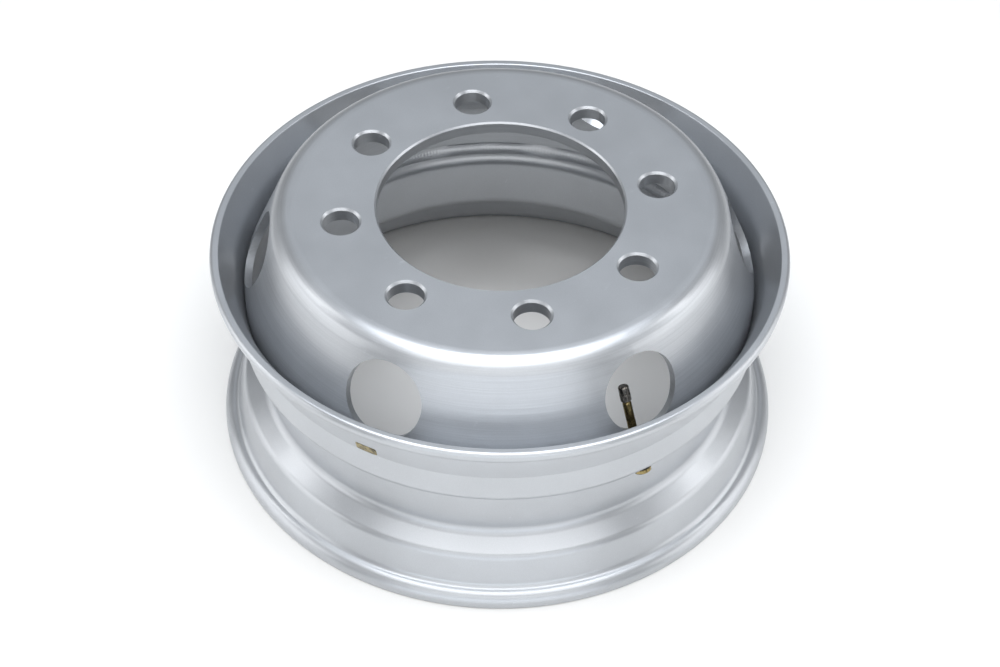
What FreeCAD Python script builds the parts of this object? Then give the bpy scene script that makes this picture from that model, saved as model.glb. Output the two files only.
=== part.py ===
import FreeCAD, Part
import math
import os

import Sketcher

# A steel disc wheel lying on its inboard flange. Z is the wheel's axis, the floor is Z = 0,
# and the valve lies in the XZ plane on the +X side.

# Driving dimensions, in millimetres and degrees.
SIZES = [
    # Rim
    ("rim_diameter", 495.3, "bead seat diameter at the heel"),
    ("rim_width", 171.45, "between the two heels"),
    ("flange_height", 12.7, "flange above the bead seat"),
    ("lip_width", 16, "flange beyond the heel, along the axis"),
    ("flange_angle", 75, "flange face from the axis"),
    ("seat_angle", 15, "bead seat from the axis"),
    ("seat_width", 30, "inboard bead seat along the axis"),
    ("rim_wall", 5.5, "rolled strip thickness"),
    ("well_depth", 28.65, "bottom of the drop-centre well below the heel, along the radius"),
    ("well_slope", 60, "inboard well flank from the axis"),
    ("ledge_height", 119.5, "outboard corner of the well above the floor"),
    ("ledge_drop", 10.15, "ledge that seats the disc below the heel, along the radius"),
    ("flank_slope", 26, "outboard well flank from level, square to the valve"),
    ("flange_round", 11, "flange bend on the tyre side"),
    ("heel_round", 6, "heel bend on the tyre side"),
    ("hump_round", 9, "bends at the edges of the well, tyre side"),
    ("well_round", 10, "bends at the bottom of the well, tyre side"),
    ("lip_round", 2.3, "rounding of the strip's two edges"),
    # Wheel disc
    ("wheel_offset", 132, "hub face from the rim's centre plane"),
    ("disc_thickness", 13, "plate at the hub face"),
    ("bore_diameter", 221, "centre bore"),
    ("bore_chamfer", 1.5, "both edges of the centre bore"),
    ("shoulder_round", 23.5, "bend from face to wall, outside"),
    ("shoulder_inner_round", 10, "bend from face to wall, inside"),
    ("wall_angle", 23, "disc wall from the axis"),
    ("wall_rise", 78.7, "disc wall along the axis, from the skirt's corner to the face"),
    ("wall_thickness", 9.5, "disc wall below the shoulder"),
    ("skirt_wall", 6.5, "thickness of the skirt"),
    ("skirt_lift", 0.9, "lower edge of the skirt above the bend inside the rim"),
    ("skirt_round", 40, "bend from wall to skirt, outside"),
    ("skirt_gap", 0.1, "between skirt and rim"),
    ("stud_circle", 285, "pitch circle of the stud holes"),
    ("stud_count", 8, "stud holes"),
    ("stud_hole", 32.5, "stud hole diameter"),
    ("stud_chamfer", 2, "countersink of a stud hole, all round"),
    ("hand_hole", 71, "hand hole diameter"),
    ("hand_hole_count", 6, "hand holes"),
    ("hand_hole_drop", 47.2, "middle of a hand hole below the face, on the wall"),
    # Weld
    ("weld_leg", 6, "weld beyond the skirt, along the radius"),
    ("weld_root", 3, "open root between weld and rim corner"),
    ("weld_gap", 0.05, "between weld and rim"),
    # Valve, measured along its own axis from the flat it seats on
    ("seat_margin", 0.75, "flat beyond the button foot, all round"),
    ("seat_depth", 0.4, "flat below the flank's own surface"),
    ("valve_notch", 28, "width of the notch in the skirt"),
    ("notch_height", 20, "height of the notch in the skirt"),
    ("valve_gap", 0.1, "between clamped pieces and rim"),
    ("foot_diameter", 16, "button foot"),
    ("foot_thickness", 4, "button foot"),
    ("grommet_inset", 0.5, "rubber seal inside the foot's edge, all round"),
    ("grommet_thickness", 3, "rubber seal under the rim"),
    ("grommet_collar", 0.45, "wall of the seal's collar in the rim's hole"),
    ("neck_diameter", 8.4, "threaded neck through the rim"),
    ("neck_length", 18, "neck above the flat"),
    ("shank_diameter", 7.9, "shank"),
    ("valve_length", 74.4, "mouth above the flat"),
    ("mouth_diameter", 7.4, "threaded end under the cap"),
    ("mouth_length", 14, "threaded end under the cap"),
    ("core_diameter", 5, "chamber for the valve core"),
    ("core_length", 20, "chamber for the valve core"),
    ("core_gap", 0.1, "between core and chamber"),
    ("core_recess", 0.5, "core pin below the mouth"),
    ("pin_diameter", 1.4, "pin of the valve core"),
    ("pin_length", 2.5, "pin of the valve core"),
    ("air_way", 2.6, "bore of the stem below the core"),
    ("washer_diameter", 15, "washer"),
    ("washer_thickness", 1.5, "washer"),
    ("washer_land", 0.2, "between the washer's edge and the bend inside the rim"),
    ("nut_flats", 13, "nut across flats"),
    ("nut_thickness", 6, "nut"),
    ("thread_gap", 0.1, "all round a screwed or pushed fit"),
    ("cap_diameter", 9.6, "screw cap"),
    ("cap_skirt", 12, "cap below the mouth"),
    ("cap_roof", 1.4, "thickness of the cap's end"),
    ("cap_round", 1, "rounding of the cap's end"),
    ("gasket_thickness", 0.8, "rubber disc in the cap"),
]

NEAR = 0.01
# Smallest bend inside the hoop, and the share of a straight run that a bend may take.
TIGHTEST_BEND = 0.5
BEND_SHARE = 0.95

doc = FreeCAD.newDocument("wheel_rim")
sheet = doc.addObject("Spreadsheet::Sheet", "Sizes")
for row, (alias, size, note) in enumerate(SIZES, 1):
    sheet.set("A%d" % row, note)
    sheet.set("B%d" % row, str(size))
    sheet.setAlias("B%d" % row, alias)
doc.recompute()


def size_of(expression):
    """Value of an expression in the sheet's names."""
    return float(sheet.evalExpression(expression))


def bind(thing, target, expression):
    """Ties one property or constraint to an expression in the sheet's names."""
    thing.setExpression(target, expression)


def add_body(label):
    body = doc.addObject("PartDesign::Body", label)
    body.Label = label
    return body


def add_sketch(body, name, role):
    """Sketch on one of the body's own origin planes."""
    sketch = body.newObject("Sketcher::SketchObject", name)
    plane = next(feature for feature in body.Origin.OriginFeatures if feature.Role == role)
    sketch.AttachmentSupport = (plane, [""])
    sketch.MapMode = "FlatFace"
    return sketch


def tie(sketch, kind, places, expression):
    """Dimension in a sketch, bound to the sheet."""
    index = sketch.addConstraint(Sketcher.Constraint(kind, *places, size_of(expression)))
    bind(sketch, "Constraints[%d]" % index, expression)


def pin_point(sketch, line, end, across, up):
    """Fixes one end of a line at a place given by two expressions."""
    tie(sketch, "DistanceX", (-1, 1, line, end), across)
    tie(sketch, "DistanceY", (-1, 1, line, end), up)


def draw_chain(sketch, points):
    """Lines joined end to end through the points; returns the number of the first."""
    first = sketch.GeometryCount
    for start, end in zip(points, points[1:]):
        sketch.addGeometry(Part.LineSegment(start, end), False)
    for line in range(first, sketch.GeometryCount - 1):
        sketch.addConstraint(Sketcher.Constraint("Coincident", line, 2, line + 1, 1))
    return first


def draw_outline(sketch, corners):
    """Closed outline through corners, each a pair of expressions."""
    points = [FreeCAD.Vector(size_of(across), size_of(up), 0) for across, up in corners]
    first = draw_chain(sketch, points + points[:1])
    last = sketch.GeometryCount - 1
    sketch.addConstraint(Sketcher.Constraint("Coincident", last, 2, first, 1))
    for line, (across, up) in enumerate(corners, first):
        pin_point(sketch, line, 1, across, up)


def draw_circle(sketch, across, up, diameter):
    """Circle whose centre and diameter are expressions."""
    centre = FreeCAD.Vector(size_of(across), size_of(up), 0)
    circle = sketch.addGeometry(Part.Circle(centre, FreeCAD.Vector(0, 0, 1), size_of(diameter) / 2), False)
    pin_point(sketch, circle, 3, across, up)
    tie(sketch, "Diameter", (circle,), diameter)


def revolve(body, sketch, kind="PartDesign::Revolution", sweep="360"):
    """Turns a sketch about the body's Z axis."""
    feature = body.newObject(kind, sketch.Name + "_turn")
    feature.Profile = sketch
    feature.ReferenceAxis = (sketch, ["V_Axis"])
    bind(feature, "Angle", sweep)
    doc.recompute()
    return feature


def turned(label, corners):
    """Body turned from one closed outline of (radius, height) corners."""
    body = add_body(label)
    sketch = add_sketch(body, label + "_section", "XZ_Plane")
    draw_outline(sketch, corners)
    revolve(body, sketch)
    return body


def pad(body, sketch, length):
    feature = body.newObject("PartDesign::Pad", sketch.Name + "_pad")
    feature.Profile = sketch
    bind(feature, "Length", length)
    doc.recompute()
    return feature


def pocket(body, sketch, length, forward=False, both=False):
    """Cuts along the sketch's normal if forward, half each way if both, and against the normal otherwise."""
    before = body.Shape.Volume
    feature = body.newObject("PartDesign::Pocket", sketch.Name + "_cut")
    feature.Profile = sketch
    feature.Type = "Length"
    feature.Reversed = forward
    feature.Midplane = both
    bind(feature, "Length", length)
    doc.recompute()
    if body.Shape.Volume >= before - NEAR:
        raise RuntimeError(feature.Name + " cuts nothing")
    return feature


def polar(body, feature, count):
    """Repeats a feature evenly about the body's Z axis."""
    pattern = body.newObject("PartDesign::PolarPattern", feature.Name + "_ring")
    pattern.Originals = [feature]
    axis = next(line for line in body.Origin.OriginFeatures if line.Role == "Z_Axis")
    pattern.Axis = (axis, [""])
    pattern.Angle = 360
    bind(pattern, "Occurrences", count)
    body.Tip = pattern
    doc.recompute()
    return pattern


def ring_edges(body, rings):
    """Names of the tip's circular edges about Z at the given (radius, height) places."""
    names = []
    for number, edge in enumerate(body.Tip.Shape.Edges, 1):
        if not isinstance(edge.Curve, Part.Circle):
            continue
        centre = edge.Curve.Center
        off_axis = math.hypot(centre.x, centre.y)
        for radius, height in rings:
            if max(off_axis, abs(edge.Curve.Radius - radius), abs(centre.z - height)) < NEAR:
                names.append("Edge%d" % number)
    if len(names) < len(rings):
        raise RuntimeError("an edge of %s was not found" % body.Label)
    return names


def dress(body, kind, name, target, size, rings):
    """Fillet or chamfer on the tip's circular edges."""
    base = body.Tip
    names = ring_edges(body, rings)
    feature = body.newObject("PartDesign::" + kind, name)
    feature.Base = (base, names)
    bind(feature, target, size)
    doc.recompute()


def fillet(body, name, radius, rings):
    dress(body, "Fillet", name, "Radius", radius, rings)


def chamfer(body, name, size, rings):
    dress(body, "Chamfer", name, "Size", size, rings)


# Places that several pieces share, as expressions in the sheet's names.
SEAT_RADIUS = "Sizes.rim_diameter / 2"
TIP_RADIUS = f"({SEAT_RADIUS} + Sizes.flange_height)"
RIM_HEIGHT = "(Sizes.rim_width + 2 * Sizes.lip_width)"
WELL_RADIUS = f"({SEAT_RADIUS} - Sizes.well_depth)"
LEDGE_RADIUS = f"({SEAT_RADIUS} - Sizes.ledge_drop)"
LEDGE_INSIDE = f"({LEDGE_RADIUS} - Sizes.rim_wall)"
SKIRT_RADIUS = f"({LEDGE_INSIDE} - Sizes.skirt_gap)"
FACE_HEIGHT = f"({RIM_HEIGHT} / 2 + Sizes.wheel_offset + Sizes.disc_thickness)"
HUB_HEIGHT = f"({FACE_HEIGHT} - Sizes.disc_thickness)"


def tighter(size):
    """Radius inside the hoop of a bend that turns away from the tyre."""
    return f"max({TIGHTEST_BEND}; Sizes.{size} - Sizes.rim_wall)"


def wider(size):
    """Radius inside the hoop of a bend that turns towards the tyre."""
    return f"(Sizes.{size} + Sizes.rim_wall)"


def inner_flank(radius):
    """Height of the outboard well flank's upper side at a radius."""
    return (f"(Sizes.ledge_height + Sizes.rim_wall / cos(Sizes.flank_slope)"
            f" - ({LEDGE_RADIUS} - ({radius})) * tan(Sizes.flank_slope))")


# The bend inside the rim, under the ledge, runs this far along the ledge and along the flank.
BEND_REACH = f"({tighter('hump_round')} * tan((90 - Sizes.flank_slope) / 2))"
SKIRT_HEIGHT = f"({inner_flank(LEDGE_INSIDE)} + {BEND_REACH} + Sizes.skirt_lift)"
# Along the flank, the valve's washer lies next to that bend. Its axis then meets the tyre side here.
VALVE_INSET = f"({BEND_REACH} + Sizes.washer_land + Sizes.washer_diameter / 2)"
VALVE_FOOT = (f"({LEDGE_INSIDE} - {VALVE_INSET} * cos(Sizes.flank_slope)"
              " + Sizes.rim_wall * sin(Sizes.flank_slope))")
# Middle of the valve's flat.
VALVE_RADIUS = f"({VALVE_FOOT} - Sizes.seat_depth * sin(Sizes.flank_slope))"
VALVE_HEIGHT = (f"(Sizes.ledge_height - ({LEDGE_RADIUS} - {VALVE_FOOT}) * tan(Sizes.flank_slope)"
                " + Sizes.seat_depth * cos(Sizes.flank_slope))")
VALVE_HOLE = "(Sizes.neck_diameter + 2 * Sizes.grommet_collar + 4 * Sizes.thread_gap)"


def tyre_side_corners():
    """Corners of the rim's section on the tyre side, from the floor up."""
    face_run = "Sizes.flange_height / tan(Sizes.flange_angle)"
    seat_drop = "Sizes.seat_width * tan(Sizes.seat_angle)"
    seat_end = f"({SEAT_RADIUS} - {seat_drop})"
    seat_top = "(Sizes.lip_width + Sizes.seat_width)"
    flank_run = f"({seat_end} - {WELL_RADIUS}) / tan(Sizes.well_slope)"
    flank_drop = f"({LEDGE_RADIUS} - {WELL_RADIUS}) * tan(Sizes.flank_slope)"
    upper_heel = f"({RIM_HEIGHT} - Sizes.lip_width)"
    ledge_top = f"{upper_heel} - ({SEAT_RADIUS} - {LEDGE_RADIUS}) / tan(Sizes.seat_angle)"
    return [
        (TIP_RADIUS, "0"),
        (TIP_RADIUS, f"Sizes.lip_width - {face_run}"),
        (SEAT_RADIUS, "Sizes.lip_width"),
        (seat_end, seat_top),
        (WELL_RADIUS, f"{seat_top} + {flank_run}"),
        (WELL_RADIUS, f"Sizes.ledge_height - {flank_drop}"),
        (LEDGE_RADIUS, "Sizes.ledge_height"),
        (LEDGE_RADIUS, ledge_top),
        (SEAT_RADIUS, upper_heel),
        (TIP_RADIUS, f"{upper_heel} + {face_run}"),
        (TIP_RADIUS, RIM_HEIGHT),
    ]


def inside_points(points, wall):
    """The points moved one wall towards the axis, square to the lines that meet there."""
    moved = [points[0] - FreeCAD.Vector(wall, 0, 0)]
    for before, corner, after in zip(points, points[1:], points[2:]):
        enter = (corner - before).normalize()
        leave = (after - corner).normalize()
        square = FreeCAD.Vector(-enter.y - leave.y, enter.x + leave.x, 0).normalize()
        half_turn = FreeCAD.Vector(-enter.y, enter.x, 0).dot(square)
        moved.append(corner + square * (wall / half_turn))
    moved.append(points[-1] - FreeCAD.Vector(wall, 0, 0))
    return moved


def draw_strip(sketch, corners, wall):
    """Outline of a bent strip: one side through the corners, the other a wall nearer the axis."""
    outer = [FreeCAD.Vector(size_of(across), size_of(up), 0) for across, up in corners]
    inner = inside_points(outer, size_of(wall))
    runs = len(corners) - 1
    outer_line = draw_chain(sketch, outer)
    inner_line = draw_chain(sketch, inner)
    for line, (across, up) in enumerate(corners[:-1], outer_line):
        pin_point(sketch, line, 1, across, up)
    pin_point(sketch, outer_line + runs - 1, 2, *corners[-1])
    for run in range(runs):
        sketch.addConstraint(Sketcher.Constraint("Parallel", outer_line + run, inner_line + run))
        tie(sketch, "Distance", (inner_line + run, 1, outer_line + run), wall)
    for end, outer_run, place in ((1, 0, 0), (2, runs - 1, -1)):
        edge = sketch.addGeometry(Part.LineSegment(outer[place], inner[place]), False)
        sketch.addConstraint(Sketcher.Constraint("Coincident", edge, 1, outer_line + outer_run, end))
        sketch.addConstraint(Sketcher.Constraint("Coincident", edge, 2, inner_line + outer_run, end))
        sketch.addConstraint(Sketcher.Constraint("Horizontal", edge))
    return outer, inner


def at_valve(sketch):
    """Moves a sketch from the XY plane to the valve's flat, square to the valve."""
    turn = FreeCAD.Rotation(FreeCAD.Vector(0, 1, 0), -size_of("Sizes.flank_slope"))
    sketch.AttachmentOffset = FreeCAD.Placement(FreeCAD.Vector(), turn)
    bind(sketch, "AttachmentOffset.Base.x", VALVE_RADIUS)
    bind(sketch, "AttachmentOffset.Base.z", VALVE_HEIGHT)
    bind(sketch, "AttachmentOffset.Rotation.Angle", "-Sizes.flank_slope")


def make_rim():
    """Hoop rolled from one strip, with every bend at the strip's own thickness."""
    body = add_body("rim")
    sketch = add_sketch(body, "rim_section", "XZ_Plane")
    outer, inner = draw_strip(sketch, tyre_side_corners(), "Sizes.rim_wall")
    revolve(body, sketch)

    def rings(points, *places):
        return [(points[place].x, points[place].y) for place in places]

    # The flange's bend leaves some of the flange's face and of its lip straight.
    face = "(Sizes.flange_height / sin(Sizes.flange_angle)"
    heel_reach = "Sizes.heel_round * tan((Sizes.flange_angle - Sizes.seat_angle) / 2))"
    lip = "(Sizes.lip_width - Sizes.flange_height / tan(Sizes.flange_angle))"
    widest = f"{BEND_SHARE} * min({face} - {heel_reach}; {lip}) / tan(Sizes.flange_angle / 2)"
    flange_radius = f"min(Sizes.flange_round; {widest})"
    inside_radius = f"max({TIGHTEST_BEND}; {flange_radius} - Sizes.rim_wall)"
    fillet(body, "flange_bend", flange_radius, rings(outer, 1, -2))
    fillet(body, "flange_bend_inside", inside_radius, rings(inner, 1, -2))
    fillet(body, "heel_bend", "Sizes.heel_round", rings(outer, 2, -3))
    fillet(body, "heel_bend_inside", wider("heel_round"), rings(inner, 2, -3))
    fillet(body, "hump_bend", "Sizes.hump_round", rings(outer, 3, 6))
    fillet(body, "hump_bend_inside", tighter("hump_round"), rings(inner, 3, 6))
    fillet(body, "well_bend", "Sizes.well_round", rings(outer, 4, 5))
    fillet(body, "well_bend_inside", wider("well_round"), rings(inner, 4, 5))
    fillet(body, "lip_edges", "Sizes.lip_round", rings(outer, 0, -1) + rings(inner, 0, -1))

    seat = add_sketch(body, "valve_seat_flat", "XY_Plane")
    at_valve(seat)
    draw_circle(seat, "0", "0", "Sizes.foot_diameter + 2 * Sizes.seat_margin")
    pocket(body, seat, "Sizes.foot_thickness + Sizes.grommet_thickness")
    hole = add_sketch(body, "valve_hole_edge", "XY_Plane")
    at_valve(hole)
    draw_circle(hole, "0", "0", VALVE_HOLE)
    pocket(body, hole, "4 * Sizes.rim_wall", both=True)
    return body


def make_wheel_disc():
    """Pressed disc: flat hub face, sloping wall that thins towards the skirt, holes."""
    body = add_body("wheel_disc")
    sketch = add_sketch(body, "disc_section", "XZ_Plane")
    bore = "Sizes.bore_diameter / 2"
    lean = "tan(Sizes.wall_angle)"
    shoulder = f"({SKIRT_RADIUS} - Sizes.wall_rise * {lean})"
    bend = f"({FACE_HEIGHT} - Sizes.wall_rise)"
    skirt_inside = f"({SKIRT_RADIUS} - Sizes.skirt_wall)"
    inner_bend = f"{bend} - Sizes.skirt_wall * tan(Sizes.wall_angle / 2)"
    inner_shoulder = (f"{shoulder} + Sizes.disc_thickness * {lean}"
                      " - Sizes.wall_thickness / cos(Sizes.wall_angle)")
    draw_outline(sketch, [
        (bore, FACE_HEIGHT),
        (shoulder, FACE_HEIGHT),
        (SKIRT_RADIUS, bend),
        (SKIRT_RADIUS, SKIRT_HEIGHT),
        (skirt_inside, SKIRT_HEIGHT),
        (skirt_inside, inner_bend),
        (inner_shoulder, HUB_HEIGHT),
        (bore, HUB_HEIGHT),
    ])
    revolve(body, sketch)

    def ring(radius, height):
        return [(size_of(radius), size_of(height))]

    fillet(body, "shoulder_bend", "Sizes.shoulder_round", ring(shoulder, FACE_HEIGHT))
    fillet(body, "shoulder_bend_inside", "Sizes.shoulder_inner_round", ring(inner_shoulder, HUB_HEIGHT))
    fillet(body, "skirt_bend", "Sizes.skirt_round", ring(SKIRT_RADIUS, bend))
    fillet(body, "skirt_bend_inside", "Sizes.skirt_round + Sizes.skirt_wall", ring(skirt_inside, inner_bend))
    chamfer(body, "bore_edges", "Sizes.bore_chamfer", ring(bore, FACE_HEIGHT) + ring(bore, HUB_HEIGHT))

    # The first stud hole is half a pitch round from the valve.
    studs = add_sketch(body, "stud_place", "XY_Plane")
    bind(studs, "AttachmentOffset.Base.z", FACE_HEIGHT)
    half_pitch = "180 / Sizes.stud_count"
    across = f"Sizes.stud_circle / 2 * cos({half_pitch})"
    up = f"Sizes.stud_circle / 2 * sin({half_pitch})"
    draw_circle(studs, across, up, "Sizes.stud_hole")
    doc.recompute()
    hole = body.newObject("PartDesign::Hole", "stud_holes")
    hole.Profile = studs
    hole.DepthType = "ThroughAll"
    hole.HoleCutType = "Countersink"
    hole.HoleCutCustomValues = True
    hole.HoleCutCountersinkAngle = 90
    bind(hole, "Diameter", "Sizes.stud_hole")
    bind(hole, "HoleCutDiameter", "Sizes.stud_hole + 2 * Sizes.stud_chamfer")
    doc.recompute()
    polar(body, hole, "Sizes.stud_count")

    # A hand hole is punched square to the wall, and its punch starts clear of the wall.
    hands = add_sketch(body, "hand_hole_edge", "YZ_Plane")
    wall_radius = f"({shoulder} + Sizes.hand_hole_drop * {lean})"
    reach = "2 * Sizes.wall_thickness"
    turn = FreeCAD.Rotation(FreeCAD.Vector(1, 0, 0), -size_of("Sizes.wall_angle"))
    hands.AttachmentOffset = FreeCAD.Placement(FreeCAD.Vector(), turn)
    bind(hands, "AttachmentOffset.Base.y",
         f"{FACE_HEIGHT} - Sizes.hand_hole_drop + {reach} * sin(Sizes.wall_angle)")
    bind(hands, "AttachmentOffset.Base.z", f"{wall_radius} + {reach} * cos(Sizes.wall_angle)")
    bind(hands, "AttachmentOffset.Rotation.Angle", "-Sizes.wall_angle")
    draw_circle(hands, "0", "0", "Sizes.hand_hole")
    punch = pocket(body, hands, f"2 * {reach}")
    polar(body, punch, "Sizes.hand_hole_count")

    # Notch in the skirt's lower edge that lets the valve and its nut through.
    notch = add_sketch(body, "valve_notch_edge", "YZ_Plane")
    half = "Sizes.valve_notch / 2"
    below = f"{SKIRT_HEIGHT} - Sizes.skirt_wall"
    above = f"{SKIRT_HEIGHT} + Sizes.notch_height"
    draw_outline(notch, [(f"-{half}", below), (half, below), (half, above), (f"-{half}", above)])
    pocket(body, notch, f"2 * {SKIRT_RADIUS}", forward=True)
    return body


def make_disc_weld():
    """Fillet weld from the skirt's lower edge to the rim, open at the valve's notch."""
    body = add_body("disc_weld")
    sketch = add_sketch(body, "weld_section", "XZ_Plane")
    root = f"({SKIRT_RADIUS} - Sizes.weld_root)"
    edge = f"({SKIRT_RADIUS} - Sizes.skirt_wall)"
    toe = f"({edge} - Sizes.weld_leg)"
    draw_outline(sketch, [
        (root, SKIRT_HEIGHT),
        (edge, SKIRT_HEIGHT),
        (toe, f"{inner_flank(toe)} + Sizes.weld_gap"),
        (root, f"{inner_flank(root)} + Sizes.weld_gap"),
    ])
    half_gap = f"asin(Sizes.valve_notch / 2 / {toe})"
    revolve(body, sketch, sweep=f"360 deg - 2 * {half_gap}")
    turn = FreeCAD.Rotation(FreeCAD.Vector(0, 0, 1), size_of(half_gap))
    body.Placement = FreeCAD.Placement(FreeCAD.Vector(), turn)
    bind(body, "Placement.Rotation.Angle", half_gap)
    return body


# Heights on the valve's own axis, from its flat.
GROMMET_TOP = "-Sizes.valve_gap"
FOOT_TOP = f"({GROMMET_TOP} - Sizes.grommet_thickness)"
WALL_TOP = "(Sizes.rim_wall - Sizes.seat_depth)"
WASHER_FOOT = f"({WALL_TOP} + Sizes.valve_gap)"
NUT_FOOT = f"({WASHER_FOOT} + Sizes.washer_thickness)"
MOUTH_FOOT = "(Sizes.valve_length - Sizes.mouth_length)"
NECK_BORE = "(Sizes.neck_diameter / 2 + Sizes.thread_gap)"
CAP_CEILING = "(Sizes.valve_length + Sizes.gasket_thickness)"


def seat_on_valve(body):
    """Places a body that was turned about its own Z axis on the valve's axis."""
    turn = FreeCAD.Rotation(FreeCAD.Vector(0, 1, 0), -size_of("Sizes.flank_slope"))
    body.Placement = FreeCAD.Placement(FreeCAD.Vector(), turn)
    bind(body, "Placement.Base.x", VALVE_RADIUS)
    bind(body, "Placement.Base.z", VALVE_HEIGHT)
    bind(body, "Placement.Rotation.Angle", "-Sizes.flank_slope")
    return body


def make_valve_stem():
    """Turned brass body: button foot, neck, shank and threaded mouth, bored through."""
    foot_bottom = f"({FOOT_TOP} - Sizes.foot_thickness)"
    foot = "Sizes.foot_diameter / 2"
    neck = "Sizes.neck_diameter / 2"
    shank = "Sizes.shank_diameter / 2"
    mouth = "Sizes.mouth_diameter / 2"
    chamber = "Sizes.core_diameter / 2"
    air = "Sizes.air_way / 2"
    chamber_foot = "Sizes.valve_length - Sizes.core_length"
    break_edge = "Sizes.foot_thickness / 4"
    return seat_on_valve(turned("valve_stem", [
        (air, foot_bottom),
        (f"{foot} - {break_edge}", foot_bottom),
        (foot, f"{foot_bottom} + {break_edge}"),
        (foot, FOOT_TOP),
        (neck, FOOT_TOP),
        (neck, "Sizes.neck_length"),
        (shank, "Sizes.neck_length"),
        (shank, MOUTH_FOOT),
        (mouth, MOUTH_FOOT),
        (mouth, "Sizes.valve_length"),
        (chamber, "Sizes.valve_length"),
        (chamber, chamber_foot),
        (air, chamber_foot),
    ]))


def make_valve_grommet():
    """Rubber seal under the foot, with a collar that fills the hole in the rim."""
    outside = "Sizes.foot_diameter / 2 - Sizes.grommet_inset"
    collar = f"{VALVE_HOLE} / 2 - Sizes.thread_gap"
    return seat_on_valve(turned("valve_grommet", [
        (NECK_BORE, FOOT_TOP),
        (outside, FOOT_TOP),
        (outside, GROMMET_TOP),
        (collar, GROMMET_TOP),
        (collar, WALL_TOP),
        (NECK_BORE, WALL_TOP),
    ]))


def make_valve_washer():
    outside = "Sizes.washer_diameter / 2"
    return seat_on_valve(turned("valve_washer", [
        (NECK_BORE, WASHER_FOOT),
        (outside, WASHER_FOOT),
        (outside, NUT_FOOT),
        (NECK_BORE, NUT_FOOT),
    ]))


def make_valve_nut():
    """Hexagon nut, its top corners turned off at a slope."""
    body = add_body("valve_nut")
    sketch = add_sketch(body, "nut_hexagon", "XY_Plane")
    bind(sketch, "AttachmentOffset.Base.z", NUT_FOOT)
    corner = "Sizes.nut_flats / sqrt(3)"
    draw_outline(sketch, [(f"{corner} * cos({60 * k})", f"{corner} * sin({60 * k})") for k in range(6)])
    draw_circle(sketch, "0", "0", f"2 * {NECK_BORE}")
    pad(body, sketch, "Sizes.nut_thickness")
    top = f"({NUT_FOOT} + Sizes.nut_thickness)"
    drop = f"({corner} - Sizes.nut_flats / 2)"
    slope = add_sketch(body, "nut_slope", "XZ_Plane")
    draw_outline(slope, [
        ("Sizes.nut_flats / 2", top),
        (f"Sizes.nut_flats / 2 + 2 * {drop}", top),
        (f"Sizes.nut_flats / 2 + 2 * {drop}", f"{top} - {drop}"),
    ])
    revolve(body, slope, "PartDesign::Groove")
    return seat_on_valve(body)


def make_valve_core():
    """Insert in the stem's mouth, with its pin just below the mouth."""
    chamber_foot = "Sizes.valve_length - Sizes.core_length"
    pin_top = "(Sizes.valve_length - Sizes.core_recess)"
    outside = "Sizes.core_diameter / 2 - Sizes.core_gap"
    pin = "Sizes.pin_diameter / 2"
    return seat_on_valve(turned("valve_core", [
        ("0", chamber_foot),
        (outside, chamber_foot),
        (outside, f"{pin_top} - Sizes.pin_length"),
        (pin, f"{pin_top} - Sizes.pin_length"),
        (pin, pin_top),
        ("0", pin_top),
    ]))


def make_valve_cap():
    """Screw cap over the mouth."""
    outside = "Sizes.cap_diameter / 2"
    inside = "Sizes.mouth_diameter / 2 + Sizes.thread_gap"
    foot = "Sizes.valve_length - Sizes.cap_skirt"
    top = f"{CAP_CEILING} + Sizes.cap_roof"
    body = turned("valve_cap", [
        (inside, foot),
        (outside, foot),
        (outside, top),
        ("0", top),
        ("0", CAP_CEILING),
        (inside, CAP_CEILING),
    ])
    fillet(body, "cap_end", "Sizes.cap_round", [(size_of(outside), size_of(top))])
    return seat_on_valve(body)


def make_cap_gasket():
    outside = "Sizes.mouth_diameter / 2"
    return seat_on_valve(turned("cap_gasket", [
        ("0", "Sizes.valve_length"),
        (outside, "Sizes.valve_length"),
        (outside, CAP_CEILING),
        ("0", CAP_CEILING),
    ]))


bodies = [
    make_rim(),
    make_wheel_disc(),
    make_disc_weld(),
    make_valve_stem(),
    make_valve_grommet(),
    make_valve_washer(),
    make_valve_nut(),
    make_valve_core(),
    make_valve_cap(),
    make_cap_gasket(),
]
doc.recompute()

for thing in doc.Objects:
    if "Invalid" in thing.State or "Error" in thing.State:
        raise RuntimeError("%s failed" % thing.Name)
for body in bodies:
    if body.Shape.isNull() or not body.Shape.isValid() or len(body.Shape.Solids) != 1:
        raise RuntimeError("%s is not one valid solid" % body.Label)

os.makedirs("parts", exist_ok=True)
for body in bodies:
    body.Shape.exportStep(os.path.join("parts", body.Label + ".step"))
    print("%s: %.1f cm3" % (body.Label, body.Shape.Volume / 1000))
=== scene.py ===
import math

import bmesh
import bpy
import numpy as np
from mathutils import Matrix, Vector


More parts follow.
